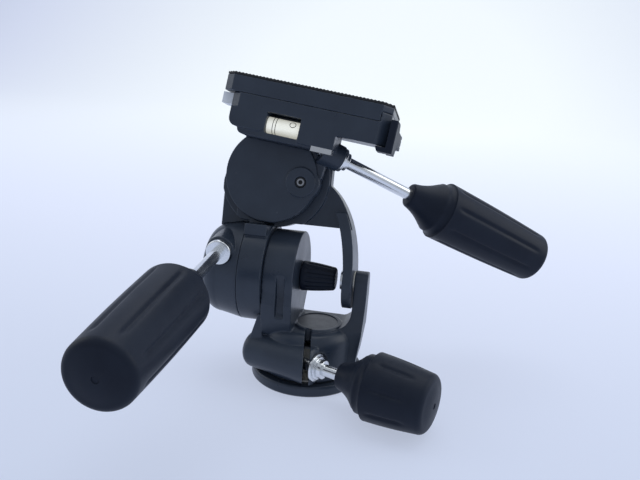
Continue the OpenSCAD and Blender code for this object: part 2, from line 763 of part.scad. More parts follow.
module platform_casting() color("dimgray") side_pose() difference() {
    union() {
        on_side_axis() y_rod(disc_y0 + cover_t, disc_y1, disc_r);
        front_slab(disc_y0 + cover_t, disc_y1) {
            translate(lobe_at) circle(r = lobe_r);
            polygon([[side_x - disc_r * cos(42), side_z + disc_r * sin(42)],
                [side_x - disc_r * cos(42), deck_z0 + 1], [3, deck_z0 + 1], [2, side_z + 4],
                [side_x, side_z]]);
        }
        translate([0, 0, deck_z0]) linear_extrude(deck_t) slab_outline(plate_x0 + 5, plate_x1);
        intersection() {
            translate([0, 0, lip_z0]) linear_extrude(jaw_z1 - lip_z0)
                slab_outline(plate_x0 + 5, plate_x1);
            union() {
                block([5, frame_y0, lip_z0], [plate_x1, frame_y0 + lip_t, deck_z0 + 1]);
                block([jaw_x0, frame_y0, deck_z0 + 1], [plate_x1, frame_y1, jaw_z1]);
            }
        }
        translate([0, 0, lug_z[0]]) linear_extrude(lug_z[1] - lug_z[0]) {
            translate(lever_pin_at) circle(r = lever_eye_r);
            translate([plate_x1 - eps, lever_pin_at[1] - lever_eye_r])
                square([lever_pin_at[0] - plate_x1 + eps, 2 * lever_eye_r]);
        }
        front_slab(frame_y0, pocket_y) left_block();
        front_slab(frame_y0, disc_y1 - 1) middle_block();
        front_slab(frame_y0 + 1, disc_y0 + 3) polygon(concat(
            arc([-39.6, floor_z0 + 3], 3, 3, 180, 270, 3),
            [[-4, floor_z0], [-4, block_z0 + 1], [-42.6, block_z0 + 1]]));
        front_slab(pocket_y, disc_y1 - 1) polygon([[left_block_x0 + 2, deck_z0 + 1],
            [-42, block_z0 - 2], [-4, block_z0 - 2], [-4, deck_z0 + 1]]);
        on_side_clamp() x_rod(-11, 0, 6.8);
    }
    on_side_axis() {
        y_rod(disc_y0, disc_y1 + 2, side_axle_r + run);
        y_rod(disc_y0 - 1, axle_flange_y + 2.1, 9.4);
    }
    translate([lobe_at[0], 0, lobe_at[1]]) y_rod(disc_y0, disc_y1 - 1.5, 1.5);
    block([window_x0, frame_y0 - 1, block_z0], [window_x1, pocket_y, deck_z0 + 1.6]);
    translate([plate_cx, plate_cy, 0])
        block([-tongue_x - 0.4, -tongue_y - 0.4, seam_z - seat_depth],
            [tongue_x + 0.4, tongue_y + 0.4, seam_z + 1]);
    on_side_clamp() x_rod(-side_stem_in - 1, 1, stem_r + run);
    block([-4, frame_y0 - 1, floor_z0 - 1], [mid_block_x1 + 1, frame_y0 + 6.1, block_z0 - 1.4]);
    translate(lever_pin_at) z_rod(lug_z[0] - 1, lug_z[1] + 1, lever_pin_r);
    block([catch_in - 7, catch_y0, catch_z0], [catch_in, catch_y1, catch_z1]);
    translate([catch_in, (catch_y0 + catch_y1) / 2, (catch_z0 + catch_z1) / 2])
        x_rod(-1, spring_len - catch_back + 0.02, spring_r + spring_wire + 0.3);
}

module side_cover() color("dimgray") side_pose() difference() {
    union() {
        front_slab(disc_y0, disc_y0 + cover_t) {
            translate([side_x, side_z]) circle(r = disc_r - 0.2);
            translate(lobe_at) circle(r = lobe_r - 0.2);
        }
        translate([lobe_at[0], 0, lobe_at[1]]) y_rod(disc_y0 - 1, disc_y0 + 0.2, 7.6);
    }
    translate([lobe_at[0], 0, lobe_at[1]]) {
        y_rod(disc_y0 - 2, disc_y0 + 0.3, 2.9);
        y_rod(disc_y0 - 2, disc_y0 + 3, 1.5);
    }
    block([plate_x0, disc_y0 - 2, floor_z0], [mid_block_x1 + 5, disc_y0 + 3, seam_z]);
}

module cover_screw() color("silver") side_pose() translate([lobe_at[0], 0, lobe_at[1]]) difference() {
    union() {
        y_rod(disc_y0 - 0.7, disc_y0 + 0.3, 2.6);
        y_rod(disc_y0, disc_y1 - 2, 1.5);
    }
    translate([0, disc_y0 - 1, 0]) rotate([-90, 0, 0]) cylinder(r = 1.3, h = 1, $fn = 6);
}

module side_friction_washer() color("ivory") front_pose() on_side_axis() difference() {
    y_rod(disc_y1 + 0.05, back_y0, disc_r - 2);
    y_rod(disc_y1 - 1, back_y0 + 1, side_axle_r);
}

module side_clamp_plate() color("gainsboro") side_pose()
    block([-3.8, frame_y0 + 0.3, floor_z0 - 0.9], [mid_block_x1 - 0.3, frame_y0 + 6, block_z0 - 1.4]);

module at_vial() translate([0, vial_y, vial_z]) children();

module level_backing() color("ivory") side_pose() difference() {
    block([window_x0 + 0.1, vial_y, block_z0 + 0.1],
        [window_x1 - 0.1, pocket_y - 0.1, vial_z + vial_r]);
    at_vial() x_rod(window_x0 - 1, window_x1 + 1, vial_r + 0.02);
}

module level_tube() color("honeydew") side_pose() at_vial() difference() {
    x_rod(window_x0 + 0.2, window_x1 - 0.2, vial_r);
    x_rod(window_x0 + 1.2, window_x1 - 1.2, vial_r - 0.8);
}

bubble_r = 2.2;

module level_liquid() color("palegreen") side_pose() at_vial() difference() {
    x_rod(window_x0 + 1.2, window_x1 - 1.2, vial_r - 0.8);
    translate([(window_x0 + window_x1) / 2 + 4.6, 0, vial_r - 1 - bubble_r]) sphere(r = bubble_r);
}

module level_rings() color("black") side_pose() at_vial() for (x = [-4.2, -2.6, 2.6, 4.2])
    translate([(window_x0 + window_x1) / 2 - 1.5 + x, 0, 0]) difference() {
        x_rod(0, 0.35, vial_r + 0.12);
        x_rod(-1, 1, vial_r);
        block([-1, 0, -9], [1, 9, 9]);
    }

module lever_pin() color("silver") side_pose() translate(lever_pin_at)
    z_rod(lever_neck_z[0], lever_neck_z[1], lever_pin_r);

// The safety catch's return spring, one helix of wire
spring_turns = 4;
spring_r = 1.3;
spring_wire = 0.3;
spring_len = 5;
spring_steps = 12;
spring_sides = 6;

function helix_points(pitch) = [for (i = [0 : spring_turns * spring_steps], j = [0 : spring_sides - 1])
    let (a = 360 * i / spring_steps, b = 360 * j / spring_sides, r = spring_r + spring_wire * cos(b))
        [r * cos(a), r * sin(a), pitch * i / spring_steps + spring_wire * sin(b)]];

function helix_faces() = let (n = spring_sides, last = spring_turns * spring_steps) concat(
    [for (j = [1 : n - 2]) [0, j, j + 1]],
    [for (j = [1 : n - 2]) [last * n, last * n + j + 1, last * n + j]],
    [for (i = [0 : last - 1], j = [0 : n - 1]) let (k = (j + 1) % n)
        [i * n + j, (i + 1) * n + k, i * n + k]],
    [for (i = [0 : last - 1], j = [0 : n - 1]) let (k = (j + 1) % n)
        [i * n + j, (i + 1) * n + j, (i + 1) * n + k]]);

module catch_spring() color("silver") side_pose()
    translate([catch_in - catch_back + spring_wire + 0.01, (catch_y0 + catch_y1) / 2,
        (catch_z0 + catch_z1) / 2])
        rotate([0, 90, 0])
            polyhedron(helix_points((spring_len - 2 * spring_wire) / spring_turns), helix_faces());

// Side view of the lever: a deep front end, then a neck back to the fork
module lever_side() polygon([[lever_y0, seam_z - 14], [lever_y0 + 14, seam_z - 14],
    [lever_y0 + 18, lever_neck_z[0]], [lever_pin_at[1] + lever_eye_r, lever_neck_z[0]],
    [lever_pin_at[1] + lever_eye_r, lever_neck_z[1]], [lever_y0 + 16, lever_neck_z[1]],
    [lever_y0 + 12, seam_z + 2], [lever_y0, seam_z + 2]]);

// The lever seen from above, with its foot under the frame's front lip
module lever_plan() {
    translate(lever_pin_at) circle(r = lever_eye_r);
    polygon([[lever_in, lever_pin_at[1]], [lever_in, lever_y0], [lever_out - 0.6, lever_y0],
        [lever_out, lever_y0 + 0.6], [lever_pin_at[0] + lever_eye_r, lever_pin_at[1]]]);
}

module plate_lever() color("darkslategray") side_pose() difference() {
    union() {
        intersection() {
            side_slab(plate_x1, plate_x1 + 8) lever_side();
            translate([0, 0, seam_z - 20]) linear_extrude(30) lever_plan();
        }
        front_slab(lever_y0, lever_y0 + 9) polygon([[plate_x1 - 4.8, lip_z0 - 0.4],
            [plate_x1 - 3.6, seam_z - 14], [lever_in + 1, seam_z - 14], [lever_in + 1, lip_z0 - 0.4]]);
    }
    translate(lever_pin_at) {
        z_rod(seam_z - 20, seam_z, lever_pin_r + run);
        block([-5, -lever_eye_r - 0.5, lug_z[0] - gap], [5, 5, lug_z[1] + gap]);
    }
}

module safety_catch() color("lightgray") side_pose() union() {
    block([catch_out, catch_y0 + 0.2, catch_z0 + 0.1],
        [catch_in - catch_back, catch_y1 - 0.2, catch_z1 - 0.1]);
}

module quick_plate() color("dimgray") side_pose() difference() {
    union() {
        translate([0, 0, plate_z0]) linear_extrude(plate_t) slab_outline(plate_x0, plate_x1);
        translate([plate_cx, plate_cy, 0])
            block([-tongue_x, -tongue_y, seam_z - tongue_h], [tongue_x, tongue_y, plate_z0 + 1]);
    }
    block([jaw_x0 - 0.2, frame_y0 - 1, seam_z], [plate_x1 + 1, frame_y1 + 1, jaw_z1 + 0.1]);
    translate([plate_cx, plate_cy, 0]) {
        z_rod(seam_z - 10, seam_z + 3.7, screw_head_r + 0.5);
        z_rod(seam_z, plate_z1 + 1, camera_screw_r + 0.4);
    }
}

module plate_pad() color("black") side_pose() difference() {
    translate([0, 0, plate_z1]) linear_extrude(pad_t) slab_outline(plate_x0, plate_x1);
    translate([plate_cx, plate_cy, 0]) z_rod(plate_z1 - 1, pad_top + 1, camera_screw_r + 0.9);
}

module screw_washer() color("silver") side_pose() translate([plate_cx, plate_cy, 0]) difference() {
    z_rod(screw_head_z + screw_head_h + 0.05, screw_head_z + screw_head_h + 0.05 + washer_h,
        screw_head_r - 1);
    z_rod(seam_z - 5, seam_z + 5, screw_shank_r + run);
}

module camera_screw() color("silver") side_pose() translate([plate_cx, plate_cy, 0]) difference() {
    union() {
        z_rod(screw_head_z, screw_head_z + screw_head_h, screw_head_r);
        z_rod(screw_head_z + 1, pad_top + 0.5, screw_shank_r);
        z_rod(pad_top, screw_tip, camera_screw_r);
    }
    block([-6, -0.7, screw_head_z - 1], [6, 0.7, screw_head_z + 1.1]);
}

base_disc();
base_grip_ring();
pan_spindle();
spindle_screws();
retaining_washer();
retaining_screw();
pan_casting();
thrust_washer();
pan_bush();
label_panel();
pan_clamp_nut();
tilt_axle();
axle_nut();
pivot_screw();
pivot_washer();
pan_stem();
pan_washers();
pan_grip();
friction_knob();
tilt_casting();
clamp_housing();
drum_bolts();
drum_bush();
arm_bush();
side_axle();
side_axle_nut();
tilt_stem();
tilt_collar();
tilt_grip();
platform_casting();
side_cover();
cover_screw();
side_friction_washer();
side_clamp_plate();
level_backing();
level_tube();
level_liquid();
level_rings();
lever_pin();
catch_spring();
side_stem();
side_washers();
side_grip();
plate_lever();
safety_catch();
quick_plate();
plate_pad();
screw_washer();
camera_screw();
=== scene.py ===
"""Looks of a three way pan tilt head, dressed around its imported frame. Metres throughout."""

import json
import math

import bmesh
import bpy
from mathutils import Matrix, Vector


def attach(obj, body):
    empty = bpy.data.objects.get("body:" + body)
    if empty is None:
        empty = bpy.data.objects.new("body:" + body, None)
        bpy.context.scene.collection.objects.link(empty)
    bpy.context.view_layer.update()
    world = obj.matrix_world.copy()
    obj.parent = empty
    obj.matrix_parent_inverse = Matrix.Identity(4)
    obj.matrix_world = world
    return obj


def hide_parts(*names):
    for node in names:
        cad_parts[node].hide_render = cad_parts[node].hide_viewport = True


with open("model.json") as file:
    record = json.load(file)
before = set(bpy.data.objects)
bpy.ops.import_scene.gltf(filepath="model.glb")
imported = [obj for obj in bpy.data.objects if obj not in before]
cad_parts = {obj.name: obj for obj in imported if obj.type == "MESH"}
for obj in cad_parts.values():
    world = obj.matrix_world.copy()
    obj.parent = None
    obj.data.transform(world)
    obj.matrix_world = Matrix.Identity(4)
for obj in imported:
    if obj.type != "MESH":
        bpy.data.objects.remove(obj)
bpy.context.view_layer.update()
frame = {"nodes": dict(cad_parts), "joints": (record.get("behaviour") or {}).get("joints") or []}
mm = 0.001

# ---------------------------------------------------------------- camera
# A small digital camera held by hand in front of the head and a little above its plate, looking
# down on it. The lens sees as wide as 37 mm film.

eye = Vector((60.7, -325.5, 171.9)) * mm
to_the_right = Vector((0.9802, 0.1896, 0.0570))
upwards = Vector((-0.1067, 0.2638, 0.9587))
ahead = Vector((-0.1668, 0.9458, -0.2788))
lens = bpy.data.cameras.new("camera")
lens.lens = 37.125
lens.sensor_width = 36.0
lens.clip_start = 0.01
camera = bpy.data.objects.new("camera", lens)
bpy.context.scene.collection.objects.link(camera)
looking = Matrix((to_the_right, upwards, -ahead)).transposed().to_4x4()
camera.matrix_world = Matrix.Translation(eye) @ looking
bpy.context.scene.camera = camera

# ---------------------------------------------------------------- table and light
# The head stands on a sheet of pale paper that runs up behind it. The light is soft: a wide lamp
# overhead, weaker ones at both sides, and a sky that is brighter in front. The paper glows a little
# by itself, which keeps the shadows faint, and its colour is painted light: a painted pool of light
# round a spot behind the head that turns to painted shade towards the viewer.

bpy.context.scene.view_settings.view_transform = "Standard"
# Tones of the paper's painted light: bright near the spot, painted shade farthest from it.
paper_painted_light_tones = (
    (0.0, (0.93, 0.98, 1.0, 1.0)),
    (0.70, (0.70, 0.75, 0.90, 1.0)),
    (1.0, (0.57, 0.63, 0.78, 1.0)))
paper_nearest, paper_farthest = 0.45, 1.75
# Centre of the pool of light painted on the paper.
painted_light_centre = (-0.1, 1.6, 0.2)


def link(piece):
    bpy.context.scene.collection.objects.link(piece)
    return piece


def new_material(name, **sockets):
    """A material whose shader holds the constants given, by socket name."""
    material = bpy.data.materials.new(name)
    material.use_nodes = True
    shader = material.node_tree.nodes["Principled BSDF"]
    for socket, value in sockets.items():
        shader.inputs[socket.replace("_", " ")].default_value = value
    return material


def wire(material, source, target):
    material.node_tree.links.new(source, target)


def paper_sheet():
    """A floor that curves up into a wall, along X."""
    half, front, bend, rise = 2.6, -1.6, 1.3, 1.5
    radius = 0.9
    profile = [(front, 0.0), (bend, 0.0)]
    for i in range(1, 17):
        angle = math.radians(90 * i / 16)
        profile.append((bend + radius * math.sin(angle), radius * (1 - math.cos(angle))))
    profile.append((bend + radius, radius + rise))
    shape = bmesh.new()
    rows = [[shape.verts.new((x, y, z)) for y, z in profile] for x in (-half, half)]
    for i in range(len(profile) - 1):
        shape.faces.new((rows[0][i], rows[1][i], rows[1][i + 1], rows[0][i + 1])).smooth = True
    mesh = bpy.data.meshes.new("paper_sheet")
    shape.to_mesh(mesh)
    shape.free()
    return link(bpy.data.objects.new("paper_sheet", mesh))


sheet = paper_sheet()
paper = new_material("paper", Roughness=0.9, Specular_IOR_Level=0.05, Emission_Strength=0.70)
tree = paper.node_tree
paper_shader = tree.nodes["Principled BSDF"]
where = tree.nodes.new("ShaderNodeNewGeometry")
spot = tree.nodes.new("ShaderNodeVectorMath")
spot.operation = "DISTANCE"
spot.inputs[1].default_value = painted_light_centre
reach = tree.nodes.new("ShaderNodeMapRange")
reach.inputs["From Min"].default_value = paper_nearest
reach.inputs["From Max"].default_value = paper_farthest
# This ramp paints the paper's light and shade by distance from that spot, and the same colour makes the
# paper glow.
painted_light_ramp = tree.nodes.new("ShaderNodeValToRGB")
painted_light_ramp.color_ramp.elements.new(paper_painted_light_tones[1][0])
for stop, (position, tone) in zip(painted_light_ramp.color_ramp.elements, paper_painted_light_tones):
    stop.position = position
    stop.color = tone
wire(paper, where.outputs["Position"], spot.inputs[0])
wire(paper, spot.outputs["Value"], reach.inputs["Value"])
wire(paper, reach.outputs["Result"], painted_light_ramp.inputs["Fac"])
faded = tree.nodes.new("ShaderNodeMix")
faded.data_type = "RGBA"
faded.inputs["Factor"].default_value = 0.6
faded.inputs["B"].default_value = (0.0, 0.0, 0.0, 1.0)
wire(paper, painted_light_ramp.outputs["Color"], faded.inputs["A"])
wire(paper, faded.outputs["Result"], paper_shader.inputs["Base Color"])
wire(paper, painted_light_ramp.outputs["Color"], paper_shader.inputs["Emission Color"])
sheet.data.materials.append(paper)

sky = bpy.data.worlds.new("sky")
sky.use_nodes = True
tree = sky.node_tree
aim = tree.nodes.new("ShaderNodeTexCoord")
split = tree.nodes.new("ShaderNodeSeparateXYZ")
depth = tree.nodes.new("ShaderNodeMapRange")
depth.inputs["From Min"].default_value = -0.6
depth.inputs["From Max"].default_value = 0.5
tone = tree.nodes.new("ShaderNodeMix")
tone.data_type = "RGBA"
tone.inputs["A"].default_value = (1.0, 1.08, 1.22, 1.0)
tone.inputs["B"].default_value = (0.78, 0.85, 0.95, 1.0)
tree.links.new(aim.outputs["Generated"], split.inputs[0])
tree.links.new(split.outputs["Y"], depth.inputs["Value"])
tree.links.new(depth.outputs["Result"], tone.inputs["Factor"])
tree.links.new(tone.outputs["Result"], tree.nodes["Background"].inputs["Color"])
tree.nodes["Background"].inputs["Strength"].default_value = 0.45
bpy.context.scene.world = sky


def soft_lamp(name, place, aim, size, power):
    data = bpy.data.lights.new(name, "AREA")
    data.shape = "DISK"
    data.size = size
    data.energy = power
    data.color = (0.97, 0.99, 1.0)
    lamp = link(bpy.data.objects.new(name, data))
    lamp.location = place
    lamp.rotation_euler = (Vector(aim) - Vector(place)).to_track_quat("-Z", "Y").to_euler()


soft_lamp("overhead_lamp", (0.1, 0.45, 1.5), (0, 0, 0.08), 1.6, 9.5)
soft_lamp("right_lamp", (1.3, 0.25, 0.7), (0, 0, 0.08), 1.2, 5.5)
soft_lamp("left_lamp", (-1.3, 0.1, 0.7), (0, 0, 0.08), 1.2, 3.5)

# ---------------------------------------------------------------- frames of the moving pieces
# The castings lean, and each handle points its own way. Every frame is worked out from the joints,
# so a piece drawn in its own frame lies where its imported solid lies.

joints = {joint["name"]: joint for joint in frame["joints"]}


def axes_at(origin, x_axis, z_hint):
    """A frame at origin with X along x_axis and Z as near z_hint as it goes."""
    x = Vector(x_axis).normalized()
    y = Vector(z_hint).cross(x).normalized()
    return Matrix.Translation(Vector(origin)) @ Matrix((x, y, x.cross(y))).transposed().to_4x4()


platform = axes_at(joints["side_tilt"]["pos_m"], joints["catch_press"]["axis"],
                   joints["plate_lift"]["axis"])
tilt_axis = axes_at(joints["front_tilt"]["pos_m"], (1, 0, 0), joints["side_tilt"]["axis"])
pan_clamp = axes_at(joints["pan_lock"]["pos_m"], joints["pan_lock"]["axis"], (0, 0, 1))
tilt_clamp = axes_at(joints["tilt_lock"]["pos_m"], joints["tilt_lock"]["axis"], (0, 0, 1))
side_clamp = axes_at(joints["side_lock"]["pos_m"], joints["side_lock"]["axis"], (0, 0, 1))


def extent(node, place):
    """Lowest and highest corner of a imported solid, in the frame given."""
    back = place.inverted()
    points = [back @ v.co for v in frame["nodes"][node].data.vertices]
    return (Vector([min(p[i] for p in points) for i in range(3)]),
            Vector([max(p[i] for p in points) for i in range(3)]))


def finish_mesh(name, shape, place, sharp=35):
    """Turns a bmesh into a piece, smooth apart from edges sharper than the angle given."""
    bmesh.ops.recalc_face_normals(shape, faces=shape.faces)
    mesh = bpy.data.meshes.new(name)
    shape.to_mesh(mesh)
    shape.free()
    for face in mesh.polygons:
        face.use_smooth = True
    mesh.set_sharp_from_angle(angle=math.radians(sharp))
    mesh.transform(place)
    return link(bpy.data.objects.new(name, mesh))


def hand_over(piece, body, slot, material, *nodes):
    """Gives a piece its finish, hangs it on its body and hides the solids it stands for."""
    piece.data.materials.clear()
    piece.data.materials.append(material)
    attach(piece, body)
    if nodes:
        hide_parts(*nodes)
    return piece


def refinish(material, *nodes):
    """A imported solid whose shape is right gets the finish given."""
    for node in nodes:
        solid = frame["nodes"][node]
        if not solid.material_slots:
            solid.data.materials.append(material)
        for place in solid.material_slots:
            place.material = material


# ---------------------------------------------------------------- casting paint
# The paint of the base disc and of all castings. It is satin black, baked on over blasted
# aluminium, so it has a fine even grain and goes pale where edges rub bare.


def group_sockets(group, ins, outs):
    for name, kind, value in ins:
        socket = group.interface.new_socket(name=name, in_out="INPUT", socket_type=kind)
        socket.default_value = value
    for name, kind in outs:
        group.interface.new_socket(name=name, in_out="OUTPUT", socket_type=kind)


def new_group(name, ins, outs):
    group = bpy.data.node_groups.new(name, "ShaderNodeTree")
    group_sockets(group, ins, outs)
    start = group.nodes.new("NodeGroupInput")
    end = group.nodes.new("NodeGroupOutput")
    return group, start, end


def make_grain():
    """Fine grain of a blasted or moulded surface: a height, and a slow drift of tone."""
    group, start, end = new_group(
        "surface_grain",
        [("Grain Size", "NodeSocketFloat", 0.5), ("Dark", "NodeSocketColor", (0.02, 0.02, 0.02, 1)),
         ("Light", "NodeSocketColor", (0.03, 0.03, 0.03, 1)), ("Smooth", "NodeSocketFloat", 0.4),
         ("Rough", "NodeSocketFloat", 0.6)],
        [("Color", "NodeSocketColor"), ("Roughness", "NodeSocketFloat"), ("Height", "NodeSocketFloat")])
    nodes, links = group.nodes, group.links
    spot = nodes.new("ShaderNodeTexCoord")
    pitch = nodes.new("ShaderNodeMath")
    pitch.operation = "DIVIDE"
    pitch.inputs[0].default_value = 1000.0
    fine = nodes.new("ShaderNodeTexNoise")
    fine.inputs["Detail"].default_value = 3.0
    slow = nodes.new("ShaderNodeTexNoise")
    slow.inputs["Scale"].default_value = 70.0
    slow.inputs["Detail"].default_value = 4.0
    spread = nodes.new("ShaderNodeMapRange")
    spread.inputs["From Min"].default_value = 0.3
    spread.inputs["From Max"].default_value = 0.7
    tone = nodes.new("ShaderNodeMix")
    tone.data_type = "RGBA"
    rough = nodes.new("ShaderNodeMix")
    links.new(start.outputs["Grain Size"], pitch.inputs[1])
    links.new(spot.outputs["Object"], fine.inputs["Vector"])
    links.new(spot.outputs["Object"], slow.inputs["Vector"])
    links.new(pitch.outputs[0], fine.inputs["Scale"])
    links.new(slow.outputs["Fac"], spread.inputs["Value"])
    links.new(spread.outputs["Result"], tone.inputs["Factor"])
    links.new(start.outputs["Dark"], tone.inputs["A"])
    links.new(start.outputs["Light"], tone.inputs["B"])
    links.new(spread.outputs["Result"], rough.inputs["Factor"])
    links.new(start.outputs["Smooth"], rough.inputs["A"])
    links.new(start.outputs["Rough"], rough.inputs["B"])
    links.new(tone.outputs["Result"], end.inputs["Color"])
    links.new(rough.outputs["Result"], end.inputs["Roughness"])
    links.new(fine.outputs["Fac"], end.inputs["Height"])
    return group


def make_wear():
    """Rubbed edges and settled dust over a colour: paler where edges stand out and tops face up."""
    group, start, end = new_group(
        "handling_wear",
        [("Color", "NodeSocketColor", (0.02, 0.02, 0.02, 1)),
         ("Edge", "NodeSocketColor", (0.2, 0.2, 0.2, 1)),
         ("Dust", "NodeSocketColor", (0.3, 0.3, 0.3, 1)), ("Edge Amount", "NodeSocketFloat", 0.4),
         ("Dust Amount", "NodeSocketFloat", 0.1)],
        [("Color", "NodeSocketColor"), ("Mask", "NodeSocketFloat")])
    nodes, links = group.nodes, group.links
    shape = nodes.new("ShaderNodeNewGeometry")
    spot = nodes.new("ShaderNodeTexCoord")
    sharp = nodes.new("ShaderNodeMapRange")
    sharp.inputs["From Min"].default_value = 0.52
    sharp.inputs["From Max"].default_value = 0.60
    patches = nodes.new("ShaderNodeTexNoise")
    patches.inputs["Scale"].default_value = 260.0
    patches.inputs["Detail"].default_value = 5.0
    torn = nodes.new("ShaderNodeMapRange")
    torn.inputs["From Min"].default_value = 0.42
    torn.inputs["From Max"].default_value = 0.66
    both = nodes.new("ShaderNodeMath")
    both.operation = "MULTIPLY"
    edge = nodes.new("ShaderNodeMath")
    edge.operation = "MULTIPLY"
    rubbed = nodes.new("ShaderNodeMix")
    rubbed.data_type = "RGBA"
    facing = nodes.new("ShaderNodeSeparateXYZ")
    upward = nodes.new("ShaderNodeMapRange")
    upward.inputs["From Min"].default_value = 0.2
    upward.inputs["From Max"].default_value = 1.0
    settled = nodes.new("ShaderNodeMath")
    settled.operation = "MULTIPLY"
    dust = nodes.new("ShaderNodeMath")
    dust.operation = "MULTIPLY"
    dusty = nodes.new("ShaderNodeMix")
    dusty.data_type = "RGBA"
    links.new(shape.outputs["Pointiness"], sharp.inputs["Value"])
    links.new(spot.outputs["Object"], patches.inputs["Vector"])
    links.new(patches.outputs["Fac"], torn.inputs["Value"])
    links.new(sharp.outputs["Result"], both.inputs[0])
    links.new(torn.outputs["Result"], both.inputs[1])
    links.new(both.outputs[0], edge.inputs[0])
    links.new(start.outputs["Edge Amount"], edge.inputs[1])
    links.new(edge.outputs[0], rubbed.inputs["Factor"])
    links.new(start.outputs["Color"], rubbed.inputs["A"])
    links.new(start.outputs["Edge"], rubbed.inputs["B"])
    links.new(shape.outputs["Normal"], facing.inputs[0])
    links.new(facing.outputs["Z"], upward.inputs["Value"])
    links.new(upward.outputs["Result"], settled.inputs[0])
    links.new(patches.outputs["Fac"], settled.inputs[1])
    links.new(settled.outputs[0], dust.inputs[0])
    links.new(start.outputs["Dust Amount"], dust.inputs[1])
    links.new(dust.outputs[0], dusty.inputs["Factor"])
    links.new(rubbed.outputs["Result"], dusty.inputs["A"])
    links.new(start.outputs["Dust"], dusty.inputs["B"])
    links.new(dusty.outputs["Result"], end.inputs["Color"])
    links.new(edge.outputs[0], end.inputs["Mask"])
    return group


grain = make_grain()
wear = make_wear()


def grained(material, size, dark, light, smooth, rough, relief, edge, edge_amount, dust_amount):
    """Wires grain, wear and a bump into a material."""
    tree = material.node_tree
    shader = tree.nodes["Principled BSDF"]
    surface = tree.nodes.new("ShaderNodeGroup")
    surface.node_tree = grain
    worn = tree.nodes.new("ShaderNodeGroup")
    worn.node_tree = wear
    bump = tree.nodes.new("ShaderNodeBump")
    for socket, value in (("Grain Size", size), ("Dark", (*dark, 1)), ("Light", (*light, 1)),
                          ("Smooth", smooth), ("Rough", rough)):
        surface.inputs[socket].default_value = value
    for socket, value in (("Edge", (*edge, 1)), ("Dust", (0.30, 0.32, 0.36, 1)),
                          ("Edge Amount", edge_amount), ("Dust Amount", dust_amount)):
        worn.inputs[socket].default_value = value
    bump.inputs["Strength"].default_value = relief
    bump.inputs["Distance"].default_value = 0.1 * mm
    wire(material, surface.outputs["Color"], worn.inputs["Color"])
    wire(material, worn.outputs["Color"], shader.inputs["Base Color"])
    wire(material, surface.outputs["Roughness"], shader.inputs["Roughness"])
    wire(material, surface.outputs["Height"], bump.inputs["Height"])
    wire(material, bump.outputs["Normal"], shader.inputs["Normal"])
    return material


casting_paint = grained(new_material("casting_paint", Specular_IOR_Level=0.35), 0.5,
                        (0.0225, 0.0320, 0.0500), (0.0300, 0.0415, 0.0620), 0.27, 0.38, 0.35,
                        (0.17, 0.18, 0.20), 0.35, 0.03)


def rounded(corners, steps=4):
    """A polyline with each corner (x, y, radius) rounded by an arc of that radius."""
    path = []
    for i, (x, y, radius) in enumerate(corners):
        here = Vector((x, y))
        if radius <= 0 or i in (0, len(corners) - 1):
            path.append(here)
            continue
        before = Vector(corners[i - 1][:2]) - here
        after = Vector(corners[i + 1][:2]) - here
        half = before.angle(after) / 2
        cut = min(radius / math.tan(half), before.length * 0.49, after.length * 0.49)
        start = here + before.normalized() * cut
        end = here + after.normalized() * cut
        for k in range(steps + 1):
            t = k / steps
            path.append((1 - t) ** 2 * start + 2 * t * (1 - t) * here + t ** 2 * end)
    return path


def turned(name, outline, place, segments=96, sharp=35):
    """A piece turned about X. The outline runs from one end to the other as (along X, radius)."""
    shape = bmesh.new()
    rings = []
    for x, radius in outline:
        if radius < 1e-7:
            rings.append([shape.verts.new((x, 0, 0))])
            continue
        turn = [2 * math.pi * k / segments for k in range(segments)]
        rings.append([shape.verts.new((x, radius * math.cos(a), radius * math.sin(a))) for a in turn])
    for one, two in zip(rings, rings[1:]):
        for k in range(segments):
            n = (k + 1) % segments
            if len(one) == 1:
                shape.faces.new((one[0], two[n], two[k]))
            elif len(two) == 1:
                shape.faces.new((one[k], one[n], two[0]))
            else:
                shape.faces.new((one[k], one[n], two[n], two[k]))
    return finish_mesh(name, shape, place, sharp)



# ---------------------------------------------------------------- castings
# Base disc, turret, middle casting, clamp housing and platform are cast aluminium: no edge is
# sharp, and every inner corner has a fillet. Each skin is its solid, filled with small cubes and
# smoothed.


def cast_skin(name, node, cube, passes, keep=0.5):
    """The skin of a casting, with edges and inner corners rounded over a few cubes."""
    shape = bmesh.new()
    shape.from_mesh(frame["nodes"][node].data)
    bmesh.ops.remove_doubles(shape, verts=shape.verts, dist=0.001 * mm)
    mesh = bpy.data.meshes.new(name + "_solid")
    shape.to_mesh(mesh)
    shape.free()
    solid = link(bpy.data.objects.new(name + "_solid", mesh))
    fill = solid.modifiers.new("fill", "REMESH")
    fill.mode = "VOXEL"
    fill.voxel_size = cube
    rub = solid.modifiers.new("rub", "SMOOTH")
    rub.iterations = passes
    rub.factor = 0.5
    thin = solid.modifiers.new("thin", "DECIMATE")
    thin.ratio = keep
    skin = bpy.data.meshes.new_from_object(solid.evaluated_get(bpy.context.evaluated_depsgraph_get()))
    bpy.data.objects.remove(solid)
    bpy.data.meshes.remove(mesh)
    for face in skin.polygons:
        face.use_smooth = True
    skin.name = name
    return link(bpy.data.objects.new(name, skin))


